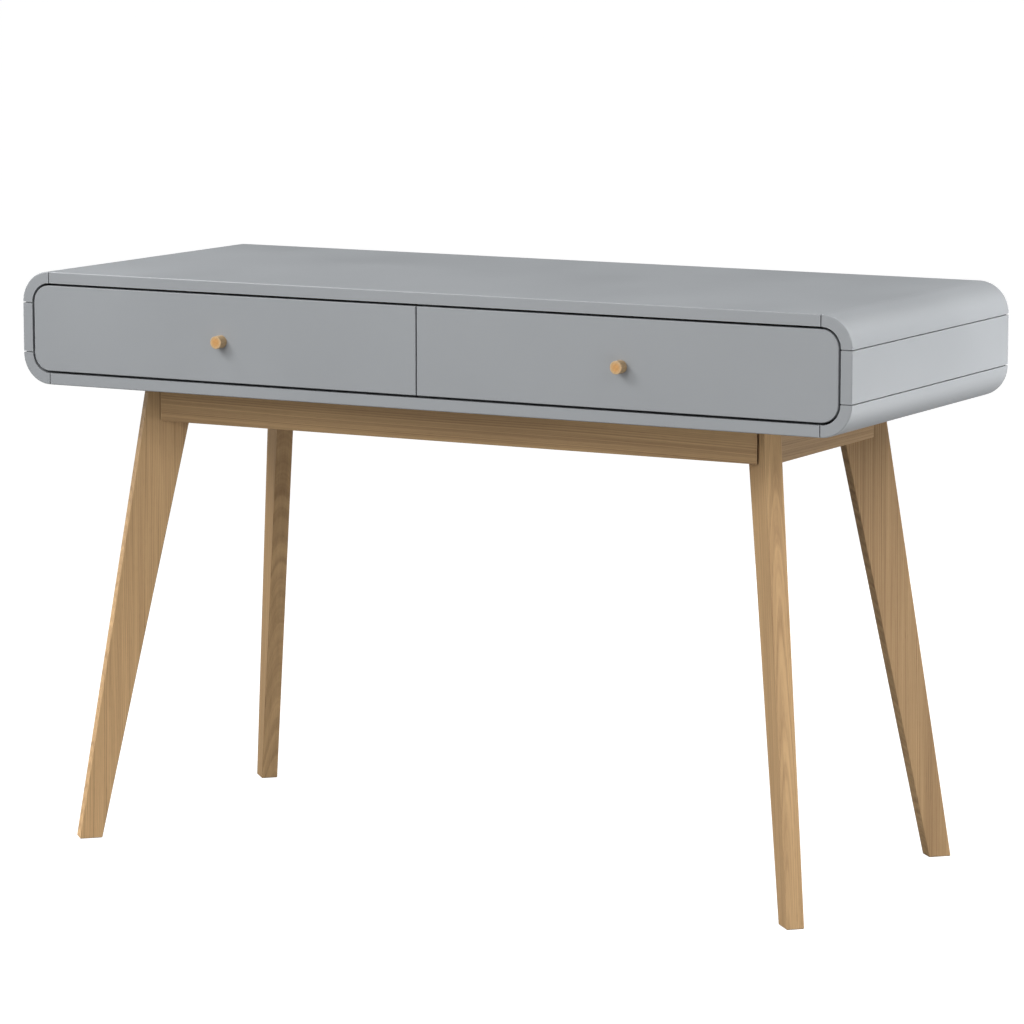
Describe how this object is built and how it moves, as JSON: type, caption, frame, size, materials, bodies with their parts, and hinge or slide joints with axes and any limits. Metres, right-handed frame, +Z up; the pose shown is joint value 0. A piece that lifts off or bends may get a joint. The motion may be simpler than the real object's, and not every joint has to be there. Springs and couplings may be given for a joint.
{
  "type": "writing desk",
  "caption": "Writing desk: a flat rounded case in grey lacquer with side-by-side drawers and round oak knobs, on a splayed, tapered oak leg frame.",
  "frame": {"origin": "on the floor under the middle of the desk's bounding box, knobs included", "axes": "+X to the right seen from the front, +Y to the back, +Z up"},
  "size_m": [1.2, 0.498, 0.758],
  "materials": {
    "grey_lacquer": "satin grey lacquer on board",
    "oak": "natural oak, matt oiled",
    "knob_oak": "turned oak, matt oiled",
    "drawer_board": "birch plywood, clear lacquer",
    "slide_steel": "zinc-plated sheet",
    "zinc_steel": "zinc-plated fasteners"
  },
  "bodies": {
    "desk": {"top_panel": "grey_lacquer", "bottom_panel": "grey_lacquer", "left_side_panel": "grey_lacquer", "right_side_panel": "grey_lacquer", "top_left_corner": "grey_lacquer", "top_right_corner": "grey_lacquer", "bottom_left_corner": "grey_lacquer", "bottom_right_corner": "grey_lacquer", "corner_tongues": "drawer_board", "centre_divider": "grey_lacquer", "back_panel": "grey_lacquer", "back_panel_screws": "zinc_steel", "front_left_leg": "oak", "front_left_corner_block": "oak", "front_right_leg": "oak", "front_right_corner_block": "oak", "back_left_leg": "oak", "back_left_corner_block": "oak", "back_right_leg": "oak", "back_right_corner_block": "oak", "front_rail": "oak", "back_rail": "oak", "left_rail": "oak", "right_rail": "oak", "leg_bolts": "zinc_steel", "leg_bolt_nuts": "zinc_steel", "frame_screws": "zinc_steel", "cabinet_slide_screws": "zinc_steel", "left_drawer_left_cabinet_member": "slide_steel", "left_drawer_right_cabinet_member": "slide_steel", "right_drawer_left_cabinet_member": "slide_steel", "right_drawer_right_cabinet_member": "slide_steel"},
    "left_drawer": {"left_drawer_front": "grey_lacquer", "left_drawer_box_front": "drawer_board", "left_drawer_back": "drawer_board", "left_drawer_inner_side": "drawer_board", "left_drawer_outer_side": "drawer_board", "left_drawer_bottom": "drawer_board", "left_knob": "knob_oak", "left_knob_screw": "zinc_steel", "left_drawer_box_screws": "zinc_steel", "left_drawer_slide_screws": "zinc_steel", "left_drawer_left_drawer_member": "slide_steel", "left_drawer_right_drawer_member": "slide_steel"},
    "right_drawer": {"right_drawer_front": "grey_lacquer", "right_drawer_box_front": "drawer_board", "right_drawer_back": "drawer_board", "right_drawer_inner_side": "drawer_board", "right_drawer_outer_side": "drawer_board", "right_drawer_bottom": "drawer_board", "right_knob": "knob_oak", "right_knob_screw": "zinc_steel", "right_drawer_box_screws": "zinc_steel", "right_drawer_slide_screws": "zinc_steel", "right_drawer_left_drawer_member": "slide_steel", "right_drawer_right_drawer_member": "slide_steel"},
    "left_drawer_left_cage": {"left_drawer_left_ball_cage": "slide_steel"},
    "left_drawer_right_cage": {"left_drawer_right_ball_cage": "slide_steel"},
    "right_drawer_left_cage": {"right_drawer_left_ball_cage": "slide_steel"},
    "right_drawer_right_cage": {"right_drawer_right_ball_cage": "slide_steel"}
  },
  "joints": [
    {"name": "left_drawer_slide", "type": "slide", "parent": "desk", "child": "left_drawer", "axis": [0, -1, 0], "range_m": [0, 0.3]},
    {"name": "right_drawer_slide", "type": "slide", "parent": "desk", "child": "right_drawer", "axis": [0, -1, 0], "range_m": [0, 0.3]},
    {"name": "left_drawer_left_cage_slide", "type": "slide", "parent": "desk", "child": "left_drawer_left_cage", "axis": [0, -1, 0], "range_m": [0, 0.15]},
    {"name": "left_drawer_right_cage_slide", "type": "slide", "parent": "desk", "child": "left_drawer_right_cage", "axis": [0, -1, 0], "range_m": [0, 0.15]},
    {"name": "right_drawer_left_cage_slide", "type": "slide", "parent": "desk", "child": "right_drawer_left_cage", "axis": [0, -1, 0], "range_m": [0, 0.15]},
    {"name": "right_drawer_right_cage_slide", "type": "slide", "parent": "desk", "child": "right_drawer_right_cage", "axis": [0, -1, 0], "range_m": [0, 0.15]}
  ],
  "couplings": [
    {"joint": "left_drawer_left_cage_slide", "follows": "left_drawer_slide", "ratio": 0.5},
    {"joint": "left_drawer_right_cage_slide", "follows": "left_drawer_slide", "ratio": 0.5},
    {"joint": "right_drawer_left_cage_slide", "follows": "right_drawer_slide", "ratio": 0.5},
    {"joint": "right_drawer_right_cage_slide", "follows": "right_drawer_slide", "ratio": 0.5}
  ]
}
